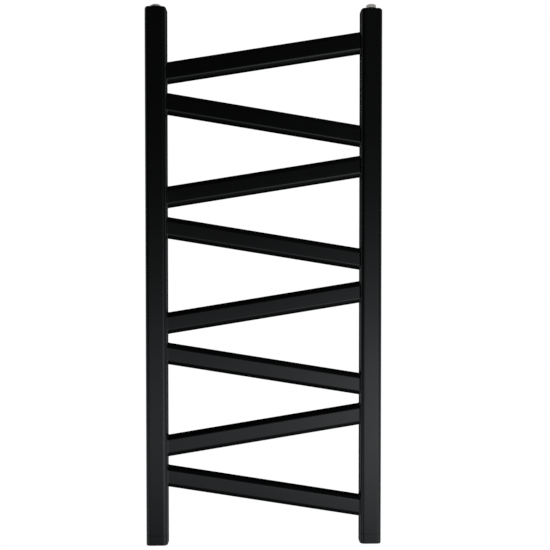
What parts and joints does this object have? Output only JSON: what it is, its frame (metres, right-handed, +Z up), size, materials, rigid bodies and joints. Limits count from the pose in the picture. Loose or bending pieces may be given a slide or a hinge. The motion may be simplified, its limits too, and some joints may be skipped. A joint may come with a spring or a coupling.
{
  "type": "towel warmer rack",
  "caption": "Wall-hung ladder towel warmer with slanted flat rungs in a zigzag between two flat-sided uprights, for a hot-water circuit.",
  "frame": {"origin": "on the wall plane, midway between the uprights and level with their lower ends, where the pipes connect", "axes": "+X along the wall to the right, seen from the room; +Y into the wall; +Z up, along the uprights"},
  "size_m": [0.44, 0.1102, 1.008],
  "materials": {
    "powder_coat": "satin black powder coat",
    "nickel_plate": "nickel plate, satin",
    "silver_plastic": "silver moulded plastic",
    "seal_rubber": "matte",
    "zinc_steel": "zinc plate",
    "plug_nylon": "moulded nylon"
  },
  "bodies": {
    "wall_side": {"upper_left_sleeve": "powder_coat", "upper_left_wall_screw": "zinc_steel", "upper_left_wall_plug": "plug_nylon", "upper_right_sleeve": "powder_coat", "upper_right_wall_screw": "zinc_steel", "upper_right_wall_plug": "plug_nylon", "lower_left_sleeve": "powder_coat", "lower_left_wall_screw": "zinc_steel", "lower_left_wall_plug": "plug_nylon", "lower_right_sleeve": "powder_coat", "lower_right_wall_screw": "zinc_steel", "lower_right_wall_plug": "plug_nylon"},
    "rack": {"left_upright": "powder_coat", "right_upright": "powder_coat", "rung_1": "powder_coat", "rung_2": "powder_coat", "rung_3": "powder_coat", "rung_4": "powder_coat", "rung_5": "powder_coat", "rung_6": "powder_coat", "rung_7": "powder_coat", "rung_8": "powder_coat", "left_top_cap": "powder_coat", "right_top_cap": "powder_coat", "left_pipe_end": "powder_coat", "right_pipe_end": "powder_coat", "vent_body": "nickel_plate", "vent_seal": "seal_rubber", "blanking_plug": "nickel_plate", "plug_seal": "seal_rubber", "upper_left_boss": "zinc_steel", "upper_left_pin": "zinc_steel", "upper_right_boss": "zinc_steel", "upper_right_pin": "zinc_steel", "lower_left_boss": "zinc_steel", "lower_left_pin": "zinc_steel", "lower_right_boss": "zinc_steel", "lower_right_pin": "zinc_steel"},
    "bleed_screw": {"bleed_screw": "nickel_plate"},
    "vent_spout": {"vent_spout": "silver_plastic"},
    "upper_left_cover": {"upper_left_cover": "powder_coat"},
    "upper_left_grub_screw": {"upper_left_grub_screw": "zinc_steel"},
    "upper_right_cover": {"upper_right_cover": "powder_coat"},
    "upper_right_grub_screw": {"upper_right_grub_screw": "zinc_steel"},
    "lower_left_cover": {"lower_left_cover": "powder_coat"},
    "lower_left_grub_screw": {"lower_left_grub_screw": "zinc_steel"},
    "lower_right_cover": {"lower_right_cover": "powder_coat"},
    "lower_right_grub_screw": {"lower_right_grub_screw": "zinc_steel"}
  },
  "joints": [
    {"name": "wall_distance", "type": "slide", "parent": "wall_side", "child": "rack", "axis": [0, -1, 0], "range_m": [0, 0.02]},
    {"name": "bleed_screw_turn", "type": "hinge", "parent": "rack", "child": "bleed_screw", "pos_m": [-0.2, -0.055, 1], "axis": [0, 0, 1], "range_deg": [0, 360]},
    {"name": "vent_spout_turn", "type": "hinge", "parent": "rack", "child": "vent_spout", "pos_m": [-0.2, -0.055, 1], "axis": [0, 0, 1], "continuous": true},
    {"name": "upper_left_cover_slide", "type": "slide", "parent": "wall_side", "child": "upper_left_cover", "axis": [0, -1, 0], "range_m": [0, 0.025]},
    {"name": "upper_right_cover_slide", "type": "slide", "parent": "wall_side", "child": "upper_right_cover", "axis": [0, -1, 0], "range_m": [0, 0.025]},
    {"name": "lower_left_cover_slide", "type": "slide", "parent": "wall_side", "child": "lower_left_cover", "axis": [0, -1, 0], "range_m": [0, 0.025]},
    {"name": "lower_right_cover_slide", "type": "slide", "parent": "wall_side", "child": "lower_right_cover", "axis": [0, -1, 0], "range_m": [0, 0.025]},
    {"name": "upper_left_grub_screw_turn", "type": "hinge", "parent": "wall_side", "child": "upper_left_grub_screw", "pos_m": [-0.2, -0.032, 0.908], "axis": [0, 0, -1], "range_deg": [0, 360]},
    {"name": "upper_right_grub_screw_turn", "type": "hinge", "parent": "wall_side", "child": "upper_right_grub_screw", "pos_m": [0.2, -0.032, 0.908], "axis": [0, 0, -1], "range_deg": [0, 360]},
    {"name": "lower_left_grub_screw_turn", "type": "hinge", "parent": "wall_side", "child": "lower_left_grub_screw", "pos_m": [-0.2, -0.032, 0.098], "axis": [0, 0, -1], "range_deg": [0, 360]},
    {"name": "lower_right_grub_screw_turn", "type": "hinge", "parent": "wall_side", "child": "lower_right_grub_screw", "pos_m": [0.2, -0.032, 0.098], "axis": [0, 0, -1], "range_deg": [0, 360]}
  ]
}
